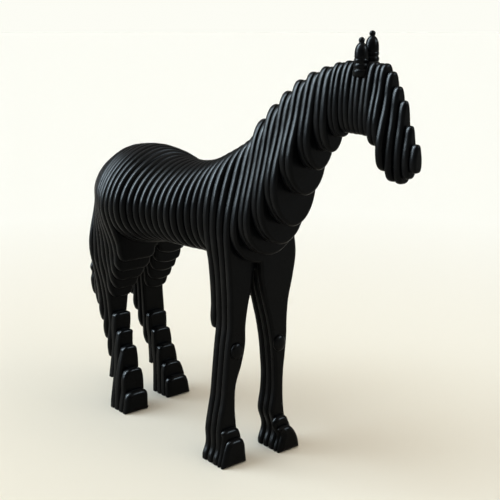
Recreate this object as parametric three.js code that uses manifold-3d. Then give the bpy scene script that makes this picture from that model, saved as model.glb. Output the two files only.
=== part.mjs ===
import * as THREE from "three";
import { mergeVertices } from "three/addons/utils/BufferGeometryUtils.js";
import Module from "manifold-3d";

// A standing horse built from upright boards, each cut to the outline the horse has at
// that place and glued face to face. Sizes are millimetres. X runs from tail to nose,
// Y to the horse's left, Z up from the floor. The sizes in this file are measured from
// the toe of the right fore hoof, and the whole group is then moved to its own middle.

const BODY_BOARD = 7.1;
const NECK_PAIR = 13.2;
const POLL_PAIR = 9.8;
const MUZZLE_BOARD = 5.6;

// Board numbers, counted from the tail. A board's number is that of its front face.
const FIRST_BOARD = -9;
const LAST_TAIL_BOARD = -6;
const LAST_RUMP_BOARD = 7;
const LAST_BARREL_BOARD = 22;
const LAST_BODY_BOARD = 27;
const LAST_NECK_BOARD = 33;
const LAST_POLL_BOARD = 38;
const LAST_BOARD = 43;
const CHEST_FACE = -2.3;

const REAR_OF_TAIL = faceOf(FIRST_BOARD - 1);
const TIP_OF_NOSE = faceOf(LAST_BOARD);
const MIDDLE = (REAR_OF_TAIL + TIP_OF_NOSE) / 2;

// The line along the back, neck and face, as places along the horse and heights there.
const CREST_LINE = [
  [-261.5, 150], [-254.4, 177.5], [-247.3, 196], [-240.2, 208], [-226, 222.5],
  [-199, 237], [-174, 246.2], [-149, 248.8], [-133, 246.8], [-117, 243], [-100, 241.2],
  [-87, 241], [-71, 242.4], [-54, 246], [-34, 254], [-16, 263.4], [-6, 270.4], [4.3, 282.5],
  [17.5, 294.5], [30.7, 305], [44, 314], [57, 320], [70, 324.2], [82, 327.6],
  [95, 329.2], [116, 329.2], [121, 328.2], [128.7, 323.2], [134.3, 313.8],
  [139.9, 305], [145.5, 289], [151.1, 277.2],
];

// The line along the belly, chest, throat and jaw.
const UNDER_LINE = [
  [-233, 176], [-215, 162], [-195, 152], [-165, 154], [-135, 162], [-100, 167.5],
  [-60, 167.5], [-34, 167], [-14, 161], [-6, 167], [4.3, 176], [17.5, 187],
  [30.7, 203.4], [43.9, 229], [57.1, 249.5], [70.3, 264], [82, 276], [92, 279.2],
  [111, 278.8], [121, 273], [128.7, 257], [134.3, 250.6], [139.9, 249.6], [145.5, 253.5],
  [151.1, 258],
];

// The half width at the widest place of each board, low on the neck, chest and cheek.
const HALF_WIDTHS = [
  [-262, 5.4], [-252, 6.4], [-241, 10.4], [-226, 17.2], [-212, 26], [-198, 34.5],
  [-187, 41], [-172, 48.5], [-151, 55], [-137, 55], [-116, 49.6], [-94, 45],
  [-73, 41.5], [-52, 35.8], [-30.7, 32.5], [-16.5, 30], [-6, 28], [4.3, 26],
  [17.5, 23.5], [30.7, 22], [44, 19], [57, 14], [70, 10.8], [82, 9.6], [97, 9],
  [111, 9.8], [121, 11.6], [128.7, 13], [134.3, 9.8], [139.9, 7.3], [145.5, 5.6],
  [151.1, 4.3],
];

// The half width that a board would keep right up to its crest. It is less than the
// widest from the shoulder forward, where the boards are pear-shaped.
const UPPER_WIDTHS = [
  [-30.7, 32], [-16.5, 26], [-6, 21.5], [4.3, 19], [17.5, 17], [30.7, 14.2], [44, 12.2],
  [70, 10], [82, 9], [97, 8.4], [111, 7.8], [121, 7.2], [128.7, 6.8], [134.3, 6.2],
  [139.9, 4.8], [145.5, 3.9], [151.1, 3.6],
];
const PEAR_SHARE = 0.7;

// How high the widest place lies between the under line (0) and the crest (1).
const WIDEST_SHARES = [
  [-268, 0.38], [-240, 0.45], [-200, 0.5], [-150, 0.45], [-60, 0.45], [-20, 0.35],
  [4, 0.26], [30, 0.31], [57, 0.3], [70, 0.35], [90, 0.4], [111, 0.3], [128.7, 0.27],
  [151, 0.4],
];

// How square the arch and the underside are: 2 is an oval, and more is squarer.
const ARCH_POWERS = [
  [-265, 2.2], [-240, 1.9], [-190, 1.8], [-100, 1.8], [-40, 1.95], [20, 2.2], [100, 2.3],
  [125, 2.9],
];
const BELLY_POWERS = [[-40, 2.3], [0, 2], [60, 1.9], [90, 2.4], [110, 3], [130, 3.2]];

// Leg outlines seen from the front: height, then distance from the middle of the horse
// to the inner edge and to the outer edge.
const RIGHT_FORE_LEG = [
  [0, 16.6, 41.8], [7, 17.2, 40.4], [14, 18, 38.4], [22, 19, 36.2], [29, 20, 38.6],
  [50, 21.3, 33.8], [63, 20.6, 32.2], [77, 16, 30.6], [97, 10.2, 28.6], [111, 9.9, 26.2],
  [125, 8.4, 25.6], [150, 3, 26.6],
];
const LEFT_FORE_LEG = [
  [0, 13.2, 36.4], [9, 15.2, 33.6], [15, 17.2, 31.6], [19, 16.2, 30], [24, 11.6, 28],
  [41, 13.8, 25.6], [60, 16.1, 25], [80, 15, 26.6], [94, 13.7, 28.6], [117, 9.4, 29],
  [140, 3.5, 32], [162, 0, 38], [185, 0, 38.5],
];
const RIGHT_HIND_LEG = [
  [0, 16.6, 42.2], [10, 16.6, 40.6], [33, 17.6, 37.6], [50, 18.3, 34.9], [66, 18.1, 33.8],
  [84, 15.2, 33.2], [97, 13.6, 34], [120, 10.4, 37], [150, 5, 42.6],
];
const LEFT_HIND_LEG = [
  [0, 11.2, 37.4], [11, 11.2, 35.6], [24, 11.6, 33.3], [35, 12, 31.6], [49, 11.4, 30.2],
  [66, 10.2, 30.2], [85, 9.2, 31.6], [97, 9, 31.8], [120, 7.6, 33], [150, 4, 34],
];

// The fore legs: which boards run down to the floor, and where the shorter board
// behind the knee ends.
const RIGHT_FORE_BOARDS = [24, 26];
const LEFT_FORE_BOARDS = [25, 27];
const RIGHT_FOREARM_END = 109;
const LEFT_FOREARM_END = 132;

// The left shoulder, which is set a little forward, keeps this half width up to its top.
const LEFT_SHOULDER_WIDTH = 34;

// The hind legs: height at which each board of the thigh ends, from the hock forward.
// The left leg stands one board further back than the right one.
const THIGH_ENDS = [
  [-5, 150], [-4, 136], [-3, 122], [-2, 108], [-1, 91], [0, 76], [1, 60], [2, 43.7],
  [3, 105], [4, 115], [5, 125], [6, 135], [7, 146],
];
const LEFT_SETBACK = 1;
const SHORT_THIGH = 80;

// The short boards that carry each hind leg forward to its hoof: board number, foot
// height, and top height on the right and on the left leg.
const HIND_STEPS = [
  [3, 27.5, 90, 80], [4, 0, 74.5, 65], [5, 0, 60.5, 49.5], [6, 0, 40.5, 33.5],
  [7, 0, 20.5, 20.5],
];

// The two blocks on the front of each fore leg: one up to the pastern, then the toe.
const PASTERN_TOP = 31;
const TOE_TOP = 23;
const HOOF_BLOCK_DEPTH = 4.7;

// How the ends of legs and blocks are rounded, and how finely outlines are divided.
const END_ROUNDING = 6;
const FLOOR_ROUNDING = 1;
const CHAMFER_SHARE = 0.3;
const ARCH_STEPS = 8;
const BELLY_STEPS = 8;
const LONG_LEG = { outerSteps: 12, innerSteps: 9, spacing: 0.8 };
const SHORT_LEG = { outerSteps: 5, innerSteps: 4, spacing: 1 };
const LONG_LEG_END = 30;
const CROTCH_DROP = 14;
const CROTCH_BEND = [0.6, 0.7];
const LOAF_STEPS = 6;
const LOAF_POWER = 0.7;
const LOAF_SHOULDER_SHARE = 0.4;
const HOOF_RIM = 1.2;

const RIGHT_KNEE_PLACE = 20.6;
const LEFT_KNEE_PLACE = 19;
const KNEE_WIDTH = 12.4;
const KNEE_HEIGHT = 14;
const KNEE_DEPTH = 3.2;
const KNEE_CENTRE_HEIGHT = 95.5;
const KNEE_RINGS = 4;
const KNEE_SIDES = 16;

// The ears: a turned peg on each side of the crest, two collars at its foot and a
// round knob on top. Each row is a height above the peg's foot and a radius.
const EAR_BOARDS = [36, 37];
const EAR_PLACE = 104.6;
const RIGHT_EAR_OFFSET = 4.7;
const LEFT_EAR_OFFSET = 5.6;
const RIGHT_EAR_FOOT = 320.5;
const LEFT_EAR_FOOT = 324.8;
const EAR_SIDES = 16;
const EAR_PROFILE = [
  [0, 5.5], [2.8, 5.7], [3.6, 4.8], [4.4, 5], [6.6, 5], [7.4, 4.4], [10, 4.4],
  [11, 4.1], [15.5, 4.3], [18.4, 3.8], [20, 2.6], [20.6, 1.7], [21.4, 2], [22.6, 2.2],
  [23.8, 1.7], [24.4, 0.6],
];

// Where each board of the tail ends.
const TAIL_ENDS = [[-9, 83], [-8, 73], [-7, 67], [-6, 92]];

const LEFT = 1;
const RIGHT = -1;
const WELD = 0.0001;
const GROUP_NAME = "layered_horse";

function faceOf(board) {
  const body = Math.min(board, LAST_BODY_BOARD) - LAST_BODY_BOARD;
  const neck = THREE.MathUtils.clamp(board, LAST_BODY_BOARD, LAST_NECK_BOARD) - LAST_BODY_BOARD;
  const poll = THREE.MathUtils.clamp(board, LAST_NECK_BOARD, LAST_POLL_BOARD) - LAST_NECK_BOARD;
  const muzzle = Math.max(board, LAST_POLL_BOARD) - LAST_POLL_BOARD;
  return CHEST_FACE + body * BODY_BOARD + neck * NECK_PAIR + poll * POLL_PAIR
    + muzzle * MUZZLE_BOARD;
}

function centreOf(board) {
  return (faceOf(board) + faceOf(board - 1)) / 2;
}

// A smooth curve through key sizes. Each row holds a place and one or more sizes there.
function sizeAt(rows, place, column = 1) {
  if (place <= rows[0][0]) return rows[0][column];
  const last = rows.length - 1;
  if (place >= rows[last][0]) return rows[last][column];
  let low = 0;
  while (rows[low + 1][0] < place) low += 1;
  const span = rows[low + 1][0] - rows[low][0];
  const share = (place - rows[low][0]) / span;
  const startSlope = slopeAt(rows, low, column) * span;
  const endSlope = slopeAt(rows, low + 1, column) * span;
  const start = rows[low][column];
  const end = rows[low + 1][column];
  const square = share * share;
  const cube = square * share;
  return start * (2 * cube - 3 * square + 1) + startSlope * (cube - 2 * square + share)
    + end * (3 * square - 2 * cube) + endSlope * (cube - square);
}

// The slope of the curve at one key size, kept flat at every high or low point.
function slopeAt(rows, index, column) {
  if (index === 0 || index === rows.length - 1) return 0;
  const before = (rows[index][column] - rows[index - 1][column])
    / (rows[index][0] - rows[index - 1][0]);
  const after = (rows[index + 1][column] - rows[index][column])
    / (rows[index + 1][0] - rows[index][0]);
  if (before * after <= 0) return 0;
  return 2 * before * after / (before + after);
}

function rowFor(rows, board) {
  return rows.find((row) => row[0] === board);
}

function hindLegOf(side) {
  return side === LEFT ? LEFT_HIND_LEG : RIGHT_HIND_LEG;
}

function foreLegOf(side) {
  return side === LEFT ? LEFT_FORE_LEG : RIGHT_FORE_LEG;
}

function foreBoardsOf(side) {
  return side === LEFT ? LEFT_FORE_BOARDS : RIGHT_FORE_BOARDS;
}

// The arch over the top of a board on one side, from the crest down to the widest place.
function archSide(shape, steps) {
  const points = [];
  for (let step = 1; step <= steps; step += 1) {
    const angle = (1 - step / steps) * Math.PI / 2;
    const up = Math.sin(angle) ** (2 / shape.archPower);
    const narrowing = THREE.MathUtils.smoothstep(up, 0, PEAR_SHARE);
    const halfWidth = THREE.MathUtils.lerp(shape.halfWidth, shape.upperWidth, narrowing);
    const across = halfWidth * Math.cos(angle) ** (2 / shape.archPower);
    points.push([across, shape.widest + (shape.crest - shape.widest) * up]);
  }
  return points;
}

// The rounded underside of a board without a leg on one side, down to the middle.
function bellySide(shape, steps) {
  const points = [];
  for (let step = 1; step < steps; step += 1) {
    const angle = step / steps * Math.PI / 2;
    const across = shape.halfWidth * Math.cos(angle) ** (2 / shape.bellyPower);
    const down = Math.sin(angle) ** (2 / shape.bellyPower);
    points.push([across, shape.widest - (shape.widest - shape.under) * down]);
  }
  return points;
}

// The outline of a leg or thigh on one side: down the outer edge, round the end and up
// the inner edge to the arch between the legs.
function legSide(shape, leg, end) {
  const points = [];
  const top = leg[leg.length - 1][0];
  const outerAt = (height) => {
    const share = THREE.MathUtils.smoothstep(height, top, shape.widest);
    const outer = THREE.MathUtils.lerp(sizeAt(leg, height, 2), shape.halfWidth, share);
    return end > SHORT_THIGH && leg !== LEFT_FORE_LEG ? Math.min(outer, shape.halfWidth) : outer;
  };
  const innerAt = (height) => sizeAt(leg, height, 1);
  const room = (outerAt(end) - innerAt(end)) / 3;
  const rounding = end > 0 ? Math.min(END_ROUNDING, room) : FLOOR_ROUNDING;
  const chamfer = rounding * CHAMFER_SHARE;
  const division = end < LONG_LEG_END ? LONG_LEG : SHORT_LEG;
  for (let step = 1; step <= division.outerSteps; step += 1) {
    const share = (step / division.outerSteps) ** division.spacing;
    const height = THREE.MathUtils.lerp(shape.widest, end + rounding, share);
    points.push([outerAt(height), height]);
  }
  points.push([outerAt(end) - chamfer, end + chamfer]);
  points.push([outerAt(end) - rounding, end]);
  points.push([innerAt(end) + rounding, end]);
  points.push([innerAt(end) + chamfer, end + chamfer]);
  const spring = Math.max(shape.under - CROTCH_DROP, end + rounding + 1);
  for (let step = 0; step <= division.innerSteps; step += 1) {
    const height = THREE.MathUtils.lerp(end + rounding, spring, step / division.innerSteps);
    points.push([innerAt(height), height]);
  }
  const reach = innerAt(spring);
  if (shape.under > spring + 1 && reach > 1) {
    const [across, up] = CROTCH_BEND;
    points.push([reach * across, THREE.MathUtils.lerp(spring, shape.under, up)]);
  }
  return points;
}

// Where the leg on one side of a board ends, or nothing where that side has no leg.
function legEnd(board, side) {
  if (board <= LAST_TAIL_BOARD) return null;
  const setback = side === LEFT ? LEFT_SETBACK : 0;
  const thigh = rowFor(THIGH_ENDS, board + setback);
  if (thigh) return { leg: hindLegOf(side), end: thigh[1] };
  const [rearmost, foremost] = foreBoardsOf(side);
  if (board >= rearmost && board <= foremost) return { leg: foreLegOf(side), end: 0 };
  if (board === rearmost - 1) {
    return { leg: foreLegOf(side), end: side === LEFT ? LEFT_FOREARM_END : RIGHT_FOREARM_END };
  }
  return null;
}

function shapeOf(board) {
  const place = centreOf(board);
  const crest = sizeAt(CREST_LINE, place);
  const tail = rowFor(TAIL_ENDS, board);
  const under = tail ? tail[1] : sizeAt(UNDER_LINE, place);
  const share = sizeAt(WIDEST_SHARES, place);
  const halfWidth = sizeAt(HALF_WIDTHS, place);
  const upperWidth = place < UPPER_WIDTHS[0][0] ? halfWidth : sizeAt(UPPER_WIDTHS, place);
  return {
    crest,
    under,
    halfWidth,
    upperWidth,
    widest: THREE.MathUtils.lerp(under, crest, share),
    archPower: sizeAt(ARCH_POWERS, place),
    bellyPower: sizeAt(BELLY_POWERS, place),
  };
}

function sideOutline(board, side) {
  const shape = shapeOf(board);
  if (side === LEFT && board >= LEFT_FORE_BOARDS[0] && board <= LEFT_FORE_BOARDS[1]) {
    shape.halfWidth = Math.max(shape.halfWidth, LEFT_SHOULDER_WIDTH);
  }
  const found = legEnd(board, side);
  const arch = archSide(shape, ARCH_STEPS);
  const rest = found ? legSide(shape, found.leg, found.end) : bellySide(shape, BELLY_STEPS);
  return [...arch, ...rest].map(([across, height]) => [across * side, height]);
}

// The closed outline of a whole board, from the crest down the left side and back up
// the right side.
function boardOutline(board) {
  const shape = shapeOf(board);
  const left = sideOutline(board, LEFT);
  const right = sideOutline(board, RIGHT).reverse();
  return [[0, shape.crest], ...left, [0, shape.under], ...right];
}

// The outline of a short block on the front of a leg, rounded over the top like a loaf.
function loafOutline(leg, side, foot, top) {
  const inner = (height) => side * sizeAt(leg, height, 1);
  const outer = (height) => side * sizeAt(leg, height, 2);
  const shoulder = Math.min(END_ROUNDING, (top - foot) * LOAF_SHOULDER_SHARE);
  const spring = top - shoulder;
  const levels = [foot, foot + HOOF_RIM, (foot + spring) / 2, spring];
  const points = levels.map((level) => [outer(level), level]);
  const centre = (inner(top) + outer(top)) / 2;
  const half = (outer(top) - inner(top)) / 2;
  for (let step = 1; step < LOAF_STEPS; step += 1) {
    const angle = step / LOAF_STEPS * Math.PI;
    const across = Math.sign(Math.cos(angle)) * Math.abs(Math.cos(angle)) ** LOAF_POWER;
    points.push([centre + half * across, spring + shoulder * Math.sin(angle) ** LOAF_POWER]);
  }
  for (const level of levels.reverse()) points.push([inner(level), level]);
  return points;
}

// A board: an outline in Y and Z given its thickness along X.
function boardGeometry(outline, rear, front) {
  const shape = new THREE.Shape(outline.map(([across, up]) => new THREE.Vector2(across, up)));
  const geometry = new THREE.ExtrudeGeometry(shape, { depth: front - rear, bevelEnabled: false });
  const turn = new THREE.Matrix4().set(0, 0, 1, rear, 1, 0, 0, 0, 0, 1, 0, 0, 0, 0, 0, 1);
  geometry.applyMatrix4(turn);
  const points = geometry.attributes.position;
  for (let index = 0; index < points.count; index += 1) {
    points.setX(index, points.getX(index) > (rear + front) / 2 ? front : rear);
  }
  return geometry;
}

// A block of several boards glued face to face, joined into one solid.
function joined(pieces) {
  const solids = pieces.map(toSolid);
  return fromSolid(solids.reduce((whole, solid) => whole.add(solid)));
}

function toSolid(geometry) {
  const bare = geometry.clone();
  bare.deleteAttribute("normal");
  bare.deleteAttribute("uv");
  const welded = mergeVertices(bare, WELD);
  const mesh = new kernel.Mesh({
    numProp: 3,
    vertProperties: new Float32Array(welded.attributes.position.array),
    triVerts: new Uint32Array(welded.index.array),
  });
  mesh.merge();
  return new kernel.Manifold(mesh);
}

function fromSolid(solid) {
  const mesh = solid.getMesh();
  const geometry = new THREE.BufferGeometry();
  geometry.setAttribute("position", new THREE.BufferAttribute(mesh.vertProperties, 3));
  geometry.setIndex(new THREE.BufferAttribute(mesh.triVerts, 1));
  geometry.computeVertexNormals();
  return geometry;
}

function boardGeometryOf(board) {
  return boardGeometry(boardOutline(board), faceOf(board - 1), faceOf(board));
}

function tailTip() {
  const boards = [];
  for (let board = FIRST_BOARD; board < LAST_TAIL_BOARD; board += 1) {
    boards.push(boardGeometryOf(board));
  }
  return joined(boards);
}

function hindHoof(side) {
  const setback = side === LEFT ? LEFT_SETBACK : 0;
  const boards = HIND_STEPS.map(([board, foot, rightTop, leftTop]) => {
    const outline = loafOutline(hindLegOf(side), side, foot, side === LEFT ? leftTop : rightTop);
    const front = board - setback;
    return boardGeometry(outline, faceOf(front - 1), faceOf(front));
  });
  return joined(boards);
}

function frontOfForeLeg(side) {
  return faceOf(foreBoardsOf(side)[1]);
}

function foreHoof(side) {
  const leg = foreLegOf(side);
  const rear = frontOfForeLeg(side);
  const middle = rear + HOOF_BLOCK_DEPTH;
  const pastern = boardGeometry(loafOutline(leg, side, 0, PASTERN_TOP), rear, middle);
  const toe = boardGeometry(loafOutline(leg, side, 0, TOE_TOP), middle, middle + HOOF_BLOCK_DEPTH);
  return joined([pastern, toe]);
}

// The oval button on the front of the knee, flat at the back and domed in front.
function kneeButton(side) {
  const across = side === LEFT ? LEFT_KNEE_PLACE : -RIGHT_KNEE_PLACE;
  const profile = [new THREE.Vector2(0, 0)];
  for (let step = 0; step <= KNEE_RINGS; step += 1) {
    const angle = step / KNEE_RINGS * Math.PI / 2;
    profile.push(new THREE.Vector2(Math.cos(angle), Math.sin(angle)));
  }
  profile[profile.length - 1].x = 0;
  const geometry = new THREE.LatheGeometry(profile, KNEE_SIDES);
  geometry.rotateZ(-Math.PI / 2);
  geometry.scale(KNEE_DEPTH, KNEE_WIDTH / 2, KNEE_HEIGHT / 2);
  geometry.translate(frontOfForeLeg(side), across, KNEE_CENTRE_HEIGHT);
  return fromSolid(toSolid(geometry));
}

// An ear, cut at its foot to the curve of the head boards it stands on.
function ear(side) {
  const rings = EAR_PROFILE.map(([height, radius]) => new THREE.Vector2(radius, height));
  const top = EAR_PROFILE[EAR_PROFILE.length - 1][0];
  const profile = [new THREE.Vector2(0, 0), ...rings, new THREE.Vector2(0, top)];
  const geometry = new THREE.LatheGeometry(profile, EAR_SIDES);
  geometry.rotateX(Math.PI / 2);
  const foot = side === LEFT ? LEFT_EAR_FOOT : RIGHT_EAR_FOOT;
  const across = side === LEFT ? LEFT_EAR_OFFSET : -RIGHT_EAR_OFFSET;
  geometry.translate(EAR_PLACE, across, foot);
  const uncut = toSolid(geometry);
  const boards = EAR_BOARDS.map((board) => toSolid(boardGeometryOf(board)));
  return fromSolid(boards.reduce((rest, board) => rest.subtract(board), uncut));
}

function satinBlack() {
  const material = new THREE.MeshStandardMaterial({ color: 0x16171a, roughness: 0.38 });
  material.name = "satin_black_paint";
  return material;
}

function boardName(board) {
  const count = String(board - FIRST_BOARD + 1).padStart(2, "0");
  if (board <= LAST_TAIL_BOARD) return `tail_board_${count}`;
  if (board <= LAST_RUMP_BOARD) return `rump_board_${count}`;
  if (board <= LAST_BARREL_BOARD) return `barrel_board_${count}`;
  if (board <= LAST_BODY_BOARD) return `shoulder_board_${count}`;
  if (board <= LAST_NECK_BOARD) return `neck_boards_${count}`;
  if (board <= LAST_POLL_BOARD) return `head_boards_${count}`;
  return `muzzle_board_${count}`;
}

function addPart(geometry, name, material) {
  const mesh = new THREE.Mesh(geometry, material);
  mesh.name = name;
  group.add(mesh);
}

const kernel = await Module();
kernel.setup();

const group = new THREE.Group();
group.name = GROUP_NAME;
addPart(tailTip(), "tail_tip_boards", satinBlack());
for (let board = LAST_TAIL_BOARD; board <= LAST_BOARD; board += 1) {
  addPart(boardGeometryOf(board), boardName(board), satinBlack());
}
for (const side of [RIGHT, LEFT]) {
  const word = side === LEFT ? "left" : "right";
  addPart(hindHoof(side), `${word}_hind_hoof_steps`, satinBlack());
  addPart(foreHoof(side), `${word}_fore_hoof_front`, satinBlack());
  addPart(kneeButton(side), `${word}_knee_button`, satinBlack());
  addPart(ear(side), `${word}_ear`, satinBlack());
}
group.position.x = -MIDDLE;
export default group;
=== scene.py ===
import math

import bmesh
import bpy
import numpy as np
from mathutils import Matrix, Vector, geometry, noise


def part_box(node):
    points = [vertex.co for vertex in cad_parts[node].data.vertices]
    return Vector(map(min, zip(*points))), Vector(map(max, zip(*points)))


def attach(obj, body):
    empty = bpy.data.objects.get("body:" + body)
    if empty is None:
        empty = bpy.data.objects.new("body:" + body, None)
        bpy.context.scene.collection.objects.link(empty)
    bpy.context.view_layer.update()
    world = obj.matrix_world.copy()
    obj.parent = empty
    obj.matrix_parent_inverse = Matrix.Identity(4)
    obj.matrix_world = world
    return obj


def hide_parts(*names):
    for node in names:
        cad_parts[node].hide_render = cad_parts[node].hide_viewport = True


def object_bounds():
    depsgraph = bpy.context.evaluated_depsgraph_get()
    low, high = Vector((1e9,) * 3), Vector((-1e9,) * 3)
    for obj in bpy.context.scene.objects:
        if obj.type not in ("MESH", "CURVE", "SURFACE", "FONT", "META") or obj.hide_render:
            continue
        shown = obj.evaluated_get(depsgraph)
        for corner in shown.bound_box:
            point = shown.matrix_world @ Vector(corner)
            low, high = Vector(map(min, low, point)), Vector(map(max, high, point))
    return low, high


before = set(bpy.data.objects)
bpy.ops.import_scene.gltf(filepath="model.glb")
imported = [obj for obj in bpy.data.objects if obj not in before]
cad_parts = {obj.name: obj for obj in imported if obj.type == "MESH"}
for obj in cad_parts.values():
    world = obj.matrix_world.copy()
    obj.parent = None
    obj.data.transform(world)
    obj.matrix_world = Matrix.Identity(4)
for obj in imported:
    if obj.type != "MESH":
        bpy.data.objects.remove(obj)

# A standing horse of upright boards with rounded edges, painted satin black. Each board
# takes its outline from its own solid in the frame, and gets its finished edge here.
# Lengths are metres, and MM turns a size in millimetres into metres.

MM = 0.001
BODY = "root"
WEAR_AND_SHADE_LAYER = "edge_wear_and_groove_shade"
CAD_LOW, CAD_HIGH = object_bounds()

# How finely an outline is followed, the turn that makes a corner, and the turn below which
# a point is left out.
LONG_OUTLINE = 450 * MM
LONG_SPACING = 1.8 * MM
SHORT_SPACING = 1.3 * MM
CORNER_TURN = math.radians(70)
STRAIGHT_TURN = math.radians(0.4)

# How an outline moves inside: the length of one step, the shortest edge that stays, and
# the limit that keeps a sharp corner from running ahead.
INSET_STEP = 0.2 * MM
SHORTEST_EDGE = 0.03 * MM
SHARPEST_LIKENESS = 0.5

# How near points become one, in a finished piece and in its solid, the size of a sliver
# that goes, and how exactly a solid is cut.
WELD = 0.02 * MM
SOLID_WELD = WELD / 4
SLIVER = WELD / 2
CUT_TOLERANCE = WELD / 100

# Flat faces are closed in millimetres, with triangles inside the ring only.
CAP_TOLERANCE = 0.004
CAP_INSIDE = 1

# The rounding of the board edges at the rear face and at the front face, by the kind of
# board, and how far it differs from node to node.
EDGE_ROUNDING = {
    "tail": (2.7 * MM, 2.7 * MM),
    "rump": (2.7 * MM, 2.7 * MM),
    "barrel": (3.0 * MM, 3.0 * MM),
    "shoulder": (2.5 * MM, 2.5 * MM),
    "neck": (2.7 * MM, 2.7 * MM),
    "head": (2.2 * MM, 2.2 * MM),
    "muzzle": (2.0 * MM, 2.2 * MM),
    "hind_hoof": (1.2 * MM, 2.4 * MM),
    "fore_hoof": (0.8 * MM, 3.2 * MM),
}
ROUNDING_SPREAD = 0.08
ROUNDING_SEED_STEP = 1.7
ROUNDING_ROW = 0.5
ARC_STEPS = 5

# The rounder front edge of a toe, the groove where one solid stands for a pair of boards
# of one outline, and the number of boards in the nodes whose boards differ in outline.
TOE_ROUNDING = {"hind_hoof": 3.8 * MM, "fore_hoof": 3.7 * MM}
PAIR_GROOVE = {"neck": 1.9 * MM, "head": 1.5 * MM}
JOINED_BOARDS = {
    "tail_tip_boards": 3,
    "right_hind_hoof_steps": 5,
    "left_hind_hoof_steps": 5,
    "right_fore_hoof_front": 2,
    "left_fore_hoof_front": 2,
}

# The unevenness of sanding by hand: how deep and how long its waves are, and the share of
# that depth that comes off on average. The lowest part of a foot keeps its outline.
SANDING_DEPTH = 0.09 * MM
SANDING_LENGTH = 34 * MM
SANDING_MEAN = 0.6
SANDING_SEED_STEP = 0.37
FOOT_HEIGHT = 1.5 * MM

# The twisted locks carved into the tail: the number of the first board of each node from
# the tip of the tail, the wave along the sides of a board, and where it begins and ends.
FIRST_LOCK_BOARDS = {"tail_tip_boards": 0, "tail_board_04": 3}
LOCK_DEPTH = 2.2 * MM
LOCK_LENGTH = 14.5 * MM
LOCK_SHIFT = 8 * MM
LOCK_TOP = 172 * MM
LOCK_END = 98 * MM
LOCK_FADE = 10 * MM

# An ear is turned round its own axis. A row is a radius and a height in millimetres, where
# 0 is the foot of its solid and EAR_HEIGHT the top. The corners are cut into small curves.
EAR_PROFILE = [
    (5.3, -1.5), (5.6, 0.4), (5.75, 1.6), (5.6, 2.7), (4.7, 3.4), (4.7, 3.8), (5.0, 4.5),
    (5.05, 5.6), (4.9, 6.5), (4.4, 7.1), (4.5, 7.8), (4.9, 8.7), (4.9, 9.5), (4.6, 10.2),
    (4.75, 11.5), (4.6, 14.6), (4.2, 17.0), (3.5, 18.7), (2.6, 19.9), (1.8, 20.6),
    (1.75, 20.9), (2.05, 21.6), (2.15, 22.5), (1.9, 23.4), (1.2, 24.1), (0.3, 24.38),
]
EAR_HEIGHT = 24.4
EAR_SIDES = 40
KNOB_HEIGHT = 3 * MM
CORNER_SHARE = 0.28
CORNER_STEPS = 3

# A knee button, as shares of its solid: the width of its foot and of the tip of its dome,
# and how far out it reaches its full width and its dome begins. It is set into the board.
KNEE_FOOT = 0.93
KNEE_TIP = 0.02
KNEE_FULL = 0.1
KNEE_RIM = 0.25
KNEE_SOFTNESS = 0.8
KNEE_SIDES = 48
KNEE_RINGS = 12
KNEE_SINK = 0.6 * MM

# An ear or a button gets one even value of rubbed wear and painted groove shade all over.
TURNED_WEAR_AND_SHADE = 0.5

# Where a new stop of a colour ramp starts, before it moves to its own place.
RAMP_MIDDLE = 0.5

# The paint: its colour by the rubbed wear of the edge crests and by a painted shade that darkens
# the edges toward the grooves between boards, its roughness by the patches of the gloss, and the
# scale, detail and roughness of the noise that makes each of its textures.
PAINT_WEAR_AND_SHADE_TONES = [
    (0.15, (0.0014, 0.0016, 0.0020)),
    (0.5, (0.0026, 0.0028, 0.0032)),
    (0.72, (0.0085, 0.0082, 0.0080)),
]
PAINT_GLOSS = [(0.25, (0.26, 0.26, 0.26)), (0.75, (0.34, 0.34, 0.34))]
PAINT_SPECULAR = 0.045
GRAIN_STRETCH = (1.0, 1.0, 0.07)
GRAIN_NOISE = (900.0, 4.0, 0.6)
PATCH_NOISE = (55.0, 5.0, 0.55)
PEEL_NOISE = (420.0, 2.0, 0.5)
GRAIN_STRENGTH = 0.35
GRAIN_DISTANCE = 0.12 * MM
PEEL_STRENGTH = 0.3
PEEL_DISTANCE = 0.2 * MM

# The floor: its colour by the distance from the middle of the horse in metres, with painted
# shade that is darker round the horse and paler further out, its gloss and its size. It lies a
# hair below the hooves.
FLOOR_SHADE_TONES = [
    (0.2, (0.85, 0.805, 0.705)),
    (0.6, (0.87, 0.84, 0.77)),
    (1.0, (0.91, 0.895, 0.85)),
]
FLOOR_ROUGHNESS = 0.75
FLOOR_SPECULAR = 0.0
FLOOR_RADIUS = 30.0
FLOOR_SIDES = 96
FLOOR_DROP = 0.05 * MM

# The lights: where each comes from, its spread in degrees, its strength and its colour.
# The panes have the colour of the window, and show in the gloss of the paint only.
COOL_LIGHT = (0.74, 0.89, 1.0)
WARM_LIGHT = (1.0, 0.85, 0.62)
LIGHTS = [
    ("window", (-0.62, -0.62, 0.78), 48, 1.9, COOL_LIGHT),
    ("bounce", (0.7, 0.2, 0.45), 50, 0.5, WARM_LIGHT),
]
PANE_SPREAD = 16
PANES = [
    ((-0.62, -0.62, 0.25), 5.0),
    ((-0.62, -0.62, 0.55), 9.0),
    ((-0.62, -0.62, 1.0), 8.0),
    ((-0.62, -0.62, 1.7), 3.6),
    ((0.7, 0.54, 0.47), 4.0),
]

# The light from all round, by its height from the horizon at 0 to overhead at 1, and the
# plain colour that shows behind the horse.
WORLD_TONES = [
    (0.0, (0.12, 0.12, 0.12)),
    (0.4, (0.16, 0.16, 0.16)),
    (1.0, (1.3, 1.24, 1.13)),
]
BACKDROP = (0.98, 0.98, 0.91, 1)

# The camera stands where the photograph was taken from.
CAMERA_PLACE = Vector((603.2, -475.4, 355.3)) * MM
CAMERA_LENS = 67.56
CAMERA_SENSOR = 36.0
CAMERA_HEADING = math.radians(49.9)
CAMERA_DIP = math.radians(13.72)


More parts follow.
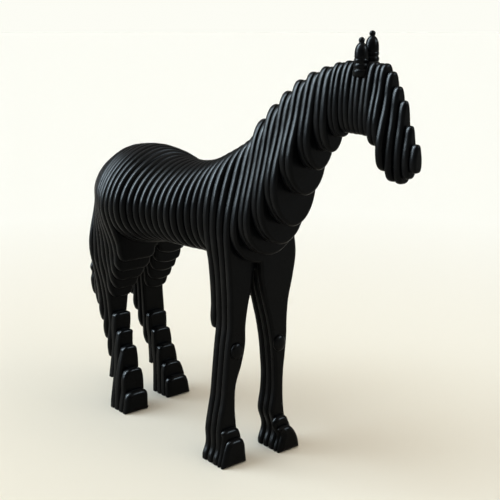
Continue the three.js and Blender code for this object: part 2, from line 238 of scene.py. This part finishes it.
def kind_of(name):
    """Which row of EDGE_ROUNDING a node belongs to."""
    if "hoof" in name:
        return "hind_hoof" if "hind" in name else "fore_hoof"
    return name.split("_")[0]


def section_outline(name, place):
    """The outline of a node in the plane X = place, as an array of (Y, Z) rows."""
    solid = bmesh.new()
    solid.from_mesh(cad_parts[name].data)
    bmesh.ops.remove_doubles(solid, verts=solid.verts, dist=SOLID_WELD)
    parts = solid.verts[:] + solid.edges[:] + solid.faces[:]
    cut = bmesh.ops.bisect_plane(
        solid, geom=parts, dist=CUT_TOLERANCE, plane_co=(place, 0, 0), plane_no=(1, 0, 0)
    )
    edges = [item for item in cut["geom_cut"] if isinstance(item, bmesh.types.BMEdge)]
    edge = min(edges, key=lambda item: item.verts[0].co.z)
    start, corner = edge.verts
    points = [start.co.copy()]
    while corner is not start:
        points.append(corner.co.copy())
        edge = next(item for item in corner.link_edges if item in edges and item is not edge)
        corner = edge.other_vert(corner)
    solid.free()
    outline = np.array([(point.y, point.z) for point in points])
    return outline if signed_area(outline) > 0 else outline[::-1]


def signed_area(outline):
    """The area inside the outline, above 0 where it runs anticlockwise."""
    following = np.roll(outline, -1, axis=0)
    return 0.5 * np.sum(outline[:, 0] * following[:, 1] - following[:, 0] * outline[:, 1])


def turns(outline):
    """The angle that the outline turns through at each point, in radians."""
    before = outline - np.roll(outline, 1, axis=0)
    after = np.roll(outline, -1, axis=0) - outline
    cross = before[:, 0] * after[:, 1] - before[:, 1] * after[:, 0]
    return np.arctan2(cross, np.sum(before * after, axis=1))


def smooth_outline(outline):
    """The outline with its facets turned into curves, and its corners kept."""
    outline = outline[np.abs(turns(outline)) > STRAIGHT_TURN]
    turn = np.abs(turns(outline))
    lengths = np.linalg.norm(np.roll(outline, -1, axis=0) - outline, axis=1)
    spacing = LONG_SPACING if lengths.sum() > LONG_OUTLINE else SHORT_SPACING
    directions = (np.roll(outline, -1, axis=0) - outline) / lengths[:, None]
    shorter = np.roll(lengths, 1)
    tangents = directions * shorter[:, None] + np.roll(directions, 1, axis=0) * lengths[:, None]
    tangents /= np.linalg.norm(tangents, axis=1)[:, None]
    points = []
    for index in range(len(outline)):
        following = (index + 1) % len(outline)
        leaving = directions[index] if turn[index] > CORNER_TURN else tangents[index]
        arriving = directions[index] if turn[following] > CORNER_TURN else tangents[following]
        count = max(1, round(lengths[index] / spacing))
        for step in range(count):
            share = step / count
            points.append(hermite(
                outline[index], outline[following],
                leaving * lengths[index], arriving * lengths[index], share,
            ))
    smooth = np.array(points)
    return np.clip(smooth, outline.min(axis=0), outline.max(axis=0))


def hermite(start, end, leaving, arriving, share):
    """The point at that share of a curve with the given ends and directions."""
    square = share * share
    cube = square * share
    return (
        start * (2 * cube - 3 * square + 1) + leaving * (cube - 2 * square + share)
        + end * (3 * square - 2 * cube) + arriving * (cube - square)
    )


def mitres(outline):
    """How far and which way each corner moves when every edge moves inside by one."""
    edges = np.roll(outline, -1, axis=0) - outline
    edges /= np.linalg.norm(edges, axis=1)[:, None]
    after = np.stack([-edges[:, 1], edges[:, 0]], axis=1)
    before = np.roll(after, 1, axis=0)
    likeness = 1 + np.sum(before * after, axis=1)
    return (before + after) / np.maximum(likeness, SHARPEST_LIKENESS)[:, None]


def moved_in(outline, depth):
    """The outline moved inside by depth, one number or one for each point.

    Points that meet on the way stay together, so the result has as many points.
    """
    steps = max(1, math.ceil(float(np.max(depth)) / INSET_STEP))
    parts = np.broadcast_to(np.asarray(depth) / steps, len(outline))
    loop = np.column_stack([outline, parts])
    owner = np.arange(len(outline))
    loop, owner = joined(loop, loop, owner)
    for _ in range(steps):
        closer = loop.copy()
        closer[:, :2] += mitres(loop[:, :2]) * loop[:, 2:]
        loop, owner = joined(loop, closer, owner)
    return loop[owner, :2]


def joined(loop, closer, owner):
    """Brings together the ends of each edge that has shrunk away or turned over."""
    while True:
        old_edges = np.roll(loop, -1, axis=0) - loop
        new_edges = np.roll(closer, -1, axis=0) - closer
        gone = np.sum(old_edges[:, :2] * new_edges[:, :2], axis=1) < SHORTEST_EDGE**2
        if not gone.any():
            return closer, owner
        group = np.concatenate([[0], np.cumsum(~gone[:-1])])
        if gone[-1]:
            group[group == group[-1]] = 0
        loop = averaged(loop, group)
        closer = averaged(closer, group)
        owner = group[owner]


def averaged(rows, group):
    """The mean of the rows of each group."""
    total = np.zeros((group.max() + 1, rows.shape[1]))
    np.add.at(total, group, rows)
    return total / np.bincount(group)[:, None]


def sanded(outline, seed):
    """The outline with the small unevenness of sanding by hand, only to the inside."""
    layer = seed * SANDING_SEED_STEP
    depths = [
        (noise.noise(Vector((y, z, layer)) / SANDING_LENGTH) + SANDING_MEAN) * SANDING_DEPTH
        for y, z in outline
    ]
    on_floor = outline[:, 1] < FOOT_HEIGHT
    return moved_in(outline, np.where(on_floor, 0, np.maximum(depths, 0)))


def with_locks(outline, board):
    """The outline of a tail board with the wave of a twisted lock along its sides."""
    height = outline[:, 1]
    phase = (height + board * LOCK_SHIFT) / LOCK_LENGTH * 2 * math.pi
    top = min(LOCK_TOP, height.max() - LOCK_FADE)
    below_top = np.clip((top - height) / LOCK_FADE, 0, 1)
    above_end = np.clip((height - LOCK_END) / LOCK_FADE, 0, 1)
    return moved_in(outline, LOCK_DEPTH * (0.5 + 0.5 * np.sin(phase)) * below_top * above_end)


def quarter_arc(radius):
    """How far along X and how far inside each step of a rounded edge is, from the crest."""
    for step in range(ARC_STEPS + 1):
        angle = step / ARC_STEPS * math.pi / 2
        yield radius * (1 - math.sin(angle)), radius * (1 - math.cos(angle))


def edge_profile(rear, front, rear_radius, front_radius, groove):
    """The rows (X, depth inside the outline) from the rear face of a board to its front."""
    rows = [(rear + along, depth) for along, depth in quarter_arc(rear_radius)][::-1]
    if groove:
        middle = (rear + front) / 2
        rows += [(middle - along, depth) for along, depth in quarter_arc(groove)]
        rows += [(middle + along, depth) for along, depth in quarter_arc(groove)][-2::-1]
    rows += [(front - along, depth) for along, depth in quarter_arc(front_radius)]
    return rows


def new_mesh():
    """An empty mesh, and its layer for the rubbed wear and painted groove shade of each point.
    """
    mesh = bmesh.new()
    return mesh, mesh.verts.layers.float.new(WEAR_AND_SHADE_LAYER)


def join_rings(mesh, rings):
    """Joins each ring of points to the next one with smooth faces."""
    for ring, following in zip(rings, rings[1:]):
        for index, point in enumerate(ring):
            beside = (index + 1) % len(ring)
            face = mesh.faces.new((point, ring[beside], following[beside], following[index]))
            face.smooth = True


def add_board(mesh, wear_and_shade, outline, profile):
    """Adds one rounded board to the mesh. The mask of rubbed wear and painted shade is 1 on the
    crest of its edge and 0 toward the grooves between boards, where the painted shade is
    darkest.
    """
    loops = {}
    loop = outline
    reached = 0.0
    deepest = max(depth for _, depth in profile)
    for depth in sorted({depth for _, depth in profile}):
        loop = moved_in(loop, depth - reached) if depth > reached else loop
        reached = depth
        loops[depth] = loop
    rings = []
    for place, depth in profile:
        ring = []
        for across, height in loops[depth]:
            point = mesh.verts.new((place, across, height))
            # Rubbed wear and painted shade: 1 on the crest, down to 0 at the faces and the
            # grooves where boards meet.
            point[wear_and_shade] = 1 - depth / deepest
            ring.append(point)
        rings.append(ring)
    join_rings(mesh, rings)
    add_cap(mesh, rings[0])
    add_cap(mesh, rings[-1])


def add_cap(mesh, ring):
    """Closes a ring that lies in one plane X with flat triangles."""
    flat = [Vector((point.co.y, point.co.z)) / MM for point in ring]
    found = geometry.delaunay_2d_cdt(flat, [], [range(len(flat))], CAP_INSIDE, CAP_TOLERANCE)
    places, _, triangles, sources = found[:4]
    corners = [
        ring[source[0]] if source else mesh.verts.new((ring[0].co.x, place.x * MM, place.y * MM))
        for place, source in zip(places, sources)
    ]
    for triangle in triangles:
        mesh.faces.new([corners[index] for index in triangle])


def placed(name, data):
    """A new object with that data, in the scene."""
    item = bpy.data.objects.new(name, data)
    bpy.context.scene.collection.objects.link(item)
    return item


def add_piece(name, mesh, material):
    """Cleans the mesh and makes an object of it, in place of the node of that name."""
    bmesh.ops.remove_doubles(mesh, verts=mesh.verts, dist=WELD)
    bmesh.ops.dissolve_degenerate(mesh, edges=mesh.edges, dist=SLIVER)
    bmesh.ops.recalc_face_normals(mesh, faces=mesh.faces)
    data = bpy.data.meshes.new(f"finished_{name}")
    mesh.to_mesh(data)
    mesh.free()
    data.materials.append(material)
    piece = placed(f"finished_{name}", data)
    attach(piece, BODY)
    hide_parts(name)


def make_boards(name, seed, material):
    """The rounded board or boards of one node."""
    kind = kind_of(name)
    low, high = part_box(name)
    count = JOINED_BOARDS.get(name, 1)
    depth = (high.x - low.x) / count
    chance = noise.noise(Vector((seed * ROUNDING_SEED_STEP, ROUNDING_ROW, 0)))
    spread = 1 + ROUNDING_SPREAD * chance
    rear_radius, front_radius = (radius * spread for radius in EDGE_ROUNDING[kind])
    groove = PAIR_GROOVE.get(kind)
    mesh, wear_and_shade = new_mesh()
    for board in range(count):
        rear = low.x + board * depth
        outline = smooth_outline(section_outline(name, rear + depth / 2))
        outline = sanded(outline, seed + board)
        if name in FIRST_LOCK_BOARDS:
            outline = with_locks(outline, FIRST_LOCK_BOARDS[name] + board)
        if board == count - 1:
            front_radius = TOE_ROUNDING.get(kind, front_radius)
        profile = edge_profile(rear, rear + depth, rear_radius, front_radius, groove)
        add_board(mesh, wear_and_shade, outline, profile)
    add_piece(name, mesh, material)


def turned(mesh, wear_and_shade, profile, sides):
    """Adds a turned form round the Z axis. A row is a radius and a height."""
    rings = []
    for radius, height in profile:
        ring = []
        for side in range(sides):
            angle = side / sides * 2 * math.pi
            point = mesh.verts.new((radius * math.cos(angle), radius * math.sin(angle), height))
            point[wear_and_shade] = TURNED_WEAR_AND_SHADE
            ring.append(point)
        rings.append(ring)
    join_rings(mesh, rings)
    mesh.faces.new(rings[0][::-1])
    mesh.faces.new(rings[-1])


def rounded_profile(rows):
    """The profile with each of its corners cut into a small curve."""
    points = [Vector(row) for row in rows]
    curve = [points[0]]
    for before, corner, after in zip(points, points[1:], points[2:]):
        start = corner.lerp(before, CORNER_SHARE)
        end = corner.lerp(after, CORNER_SHARE)
        for step in range(CORNER_STEPS + 1):
            along = step / CORNER_STEPS
            curve.append(start.lerp(corner, along).lerp(corner.lerp(end, along), along))
    curve.append(points[-1])
    return curve


def make_ear(name, material):
    """A turned ear with its collars and its knob, in the place of its solid."""
    low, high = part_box(name)
    mesh, wear_and_shade = new_mesh()
    profile = [(row.x * MM, row.y * MM) for row in rounded_profile(EAR_PROFILE)]
    turned(mesh, wear_and_shade, profile, EAR_SIDES)
    place = Vector(((low.x + high.x) / 2, ear_across(name), high.z - EAR_HEIGHT * MM))
    bmesh.ops.translate(mesh, verts=mesh.verts, vec=place)
    add_piece(name, mesh, material)


def ear_across(name):
    """The Y of an ear's axis: the middle of the points of its knob, near the top."""
    points = [vertex.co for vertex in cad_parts[name].data.vertices]
    top = max(point.z for point in points)
    knob = [point.y for point in points if point.z > top - KNOB_HEIGHT]
    return (min(knob) + max(knob)) / 2


def make_knee(name, material):
    """The oval button of a knee: a low rim, and a dome with a softer top."""
    low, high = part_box(name)
    middle = (low + high) / 2
    size = high - low
    rows = [
        (KNEE_FOOT, -KNEE_SINK / size.x), (KNEE_FOOT, 0.0), (1.0, KNEE_FULL), (1.0, KNEE_RIM)
    ]
    for ring in range(1, KNEE_RINGS):
        angle = ring / KNEE_RINGS * math.pi / 2
        out = KNEE_RIM + (1 - KNEE_RIM) * math.sin(angle)
        rows.append((math.cos(angle) ** KNEE_SOFTNESS, out))
    rows.append((KNEE_TIP, 1.0))
    mesh, wear_and_shade = new_mesh()
    turned(mesh, wear_and_shade, rows, KNEE_SIDES)
    for vertex in mesh.verts:
        across, up, out = vertex.co
        vertex.co = (
            low.x + out * size.x, middle.y + across * size.y / 2, middle.z + up * size.z / 2
        )
    add_piece(name, mesh, material)


def color_ramp(tree, source, stops):
    """A colour ramp fed by source. Each stop is a place and a colour."""
    node = tree.nodes.new("ShaderNodeValToRGB")
    ramp = node.color_ramp
    while len(ramp.elements) < len(stops):
        ramp.elements.new(RAMP_MIDDLE)
    for element, (place, color) in zip(ramp.elements, stops):
        element.position = place
        element.color = (*color, 1)
    tree.links.new(source, node.inputs["Fac"])
    return node.outputs["Color"]


def add_noise(tree, place, settings):
    """A noise texture at place. The settings are its scale, detail and roughness."""
    node = tree.nodes.new("ShaderNodeTexNoise")
    for label, value in zip(("Scale", "Detail", "Roughness"), settings):
        node.inputs[label].default_value = value
    tree.links.new(place, node.inputs["Vector"])
    return node.outputs["Fac"]


def add_bump(tree, height, strength, distance):
    """A bump of that height."""
    node = tree.nodes.new("ShaderNodeBump")
    node.inputs["Strength"].default_value = strength
    node.inputs["Distance"].default_value = distance
    tree.links.new(height, node.inputs["Height"])
    return node


def new_material(name):
    """A new material with its tree, its shader and the place of a point on the object."""
    material = bpy.data.materials.new(name)
    material.use_nodes = True
    tree = material.node_tree
    shader = tree.nodes["Principled BSDF"]
    place = tree.nodes.new("ShaderNodeTexCoord").outputs["Object"]
    return material, tree, shader, place


def satin_black():
    """Satin black paint over wood: faint grain, uneven gloss, slightly rubbed edges, and painted
    shade darker toward the grooves between boards.
    """
    material, tree, shader, place = new_material("satin_black")

    grain_place = tree.nodes.new("ShaderNodeMapping")
    grain_place.inputs["Scale"].default_value = GRAIN_STRETCH
    tree.links.new(place, grain_place.inputs["Vector"])
    grain = add_noise(tree, grain_place.outputs["Vector"], GRAIN_NOISE)
    patches = add_noise(tree, place, PATCH_NOISE)
    peel = add_noise(tree, place, PEEL_NOISE)

    wear_and_shade = tree.nodes.new("ShaderNodeAttribute")
    wear_and_shade.attribute_name = WEAR_AND_SHADE_LAYER
    rubbed_and_shaded = tree.nodes.new("ShaderNodeMath")
    rubbed_and_shaded.operation = "MULTIPLY"
    tree.links.new(wear_and_shade.outputs["Fac"], rubbed_and_shaded.inputs[0])
    tree.links.new(patches, rubbed_and_shaded.inputs[1])
    # Painted shade: the colour darkens toward the grooves between boards, and the crests are
    # lighter where the paint is rubbed.
    paint_wear_and_shade = color_ramp(tree, rubbed_and_shaded.outputs["Value"], PAINT_WEAR_AND_SHADE_TONES)
    tree.links.new(paint_wear_and_shade, shader.inputs["Base Color"])
    gloss = color_ramp(tree, patches, PAINT_GLOSS)
    tree.links.new(gloss, shader.inputs["Roughness"])
    shader.inputs["Specular IOR Level"].default_value = PAINT_SPECULAR

    grain_bump = add_bump(tree, grain, GRAIN_STRENGTH, GRAIN_DISTANCE)
    peel_bump = add_bump(tree, peel, PEEL_STRENGTH, PEEL_DISTANCE)
    tree.links.new(grain_bump.outputs["Normal"], peel_bump.inputs["Normal"])
    tree.links.new(peel_bump.outputs["Normal"], shader.inputs["Normal"])
    return material


def floor_material():
    """A plain pale matt floor with painted shade: a little darker round the horse, paler further
    out.
    """
    material, tree, shader, place = new_material("pale_floor")
    distance = tree.nodes.new("ShaderNodeVectorMath")
    distance.operation = "LENGTH"
    tree.links.new(place, distance.inputs[0])
    # Painted shade: the floor is darker near the horse and paler far from it.
    floor_shade_tone = color_ramp(tree, distance.outputs["Value"], FLOOR_SHADE_TONES)
    tree.links.new(floor_shade_tone, shader.inputs["Base Color"])
    shader.inputs["Roughness"].default_value = FLOOR_ROUGHNESS
    shader.inputs["Specular IOR Level"].default_value = FLOOR_SPECULAR
    return material


def make_floor():
    """A wide round floor just below the hooves."""
    mesh = bmesh.new()
    bmesh.ops.create_circle(mesh, cap_ends=True, segments=FLOOR_SIDES, radius=FLOOR_RADIUS)
    data = bpy.data.meshes.new("floor")
    mesh.to_mesh(data)
    mesh.free()
    data.materials.append(floor_material())
    floor = placed("floor", data)
    floor.location.z = CAD_LOW.z - FLOOR_DROP


def add_light(name, direction, spread, strength, color):
    """A far and wide soft light that comes from that direction."""
    data = bpy.data.lights.new(name, "SUN")
    data.angle = math.radians(spread)
    data.energy = strength
    data.color = color
    light = placed(name, data)
    light.rotation_euler = Vector(direction).to_track_quat("Z", "Y").to_euler()
    return light


def make_lights():
    """A cool window on the left of the view, a warm bounce, and the panes."""
    for name, direction, spread, strength, color in LIGHTS:
        add_light(name, direction, spread, strength, color)
    for pane, (direction, strength) in enumerate(PANES):
        light = add_light(f"pane_{pane}", direction, PANE_SPREAD, strength, COOL_LIGHT)
        light.visible_diffuse = False


def make_world():
    """Soft light all round: pale above, and dimmer near the level of the horse."""
    world = bpy.data.worlds.new("studio")
    bpy.context.scene.world = world
    world.use_nodes = True
    tree = world.node_tree
    background = tree.nodes["Background"]
    place = tree.nodes.new("ShaderNodeTexCoord").outputs["Generated"]
    parts = tree.nodes.new("ShaderNodeSeparateXYZ")
    tree.links.new(place, parts.inputs["Vector"])
    light = color_ramp(tree, parts.outputs["Z"], WORLD_TONES)
    tree.links.new(light, background.inputs["Color"])
    seen = tree.nodes.new("ShaderNodeBackground")
    seen.inputs["Color"].default_value = BACKDROP
    path = tree.nodes.new("ShaderNodeLightPath")
    mix = tree.nodes.new("ShaderNodeMixShader")
    tree.links.new(path.outputs["Is Camera Ray"], mix.inputs["Fac"])
    tree.links.new(background.outputs["Background"], mix.inputs[1])
    tree.links.new(seen.outputs["Background"], mix.inputs[2])
    tree.links.new(mix.outputs["Shader"], tree.nodes["World Output"].inputs["Surface"])


def make_camera():
    """The camera, level from side to side and dipped toward the horse."""
    data = bpy.data.cameras.new("camera")
    data.sensor_fit = "HORIZONTAL"
    data.sensor_width = CAMERA_SENSOR
    data.lens = CAMERA_LENS
    camera = placed("camera", data)
    camera.location = CAMERA_PLACE
    camera.rotation_euler = (math.pi / 2 - CAMERA_DIP, 0, CAMERA_HEADING)
    bpy.context.scene.camera = camera


def make_horse():
    """A finished piece for every node of the frame."""
    material = satin_black()
    for seed, name in enumerate(sorted(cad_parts)):
        if name.endswith("_ear"):
            make_ear(name, material)
        elif name.endswith("_knee_button"):
            make_knee(name, material)
        else:
            make_boards(name, seed, material)


bpy.context.scene.view_settings.view_transform = "Standard"
make_horse()
make_floor()
make_lights()
make_world()
make_camera()
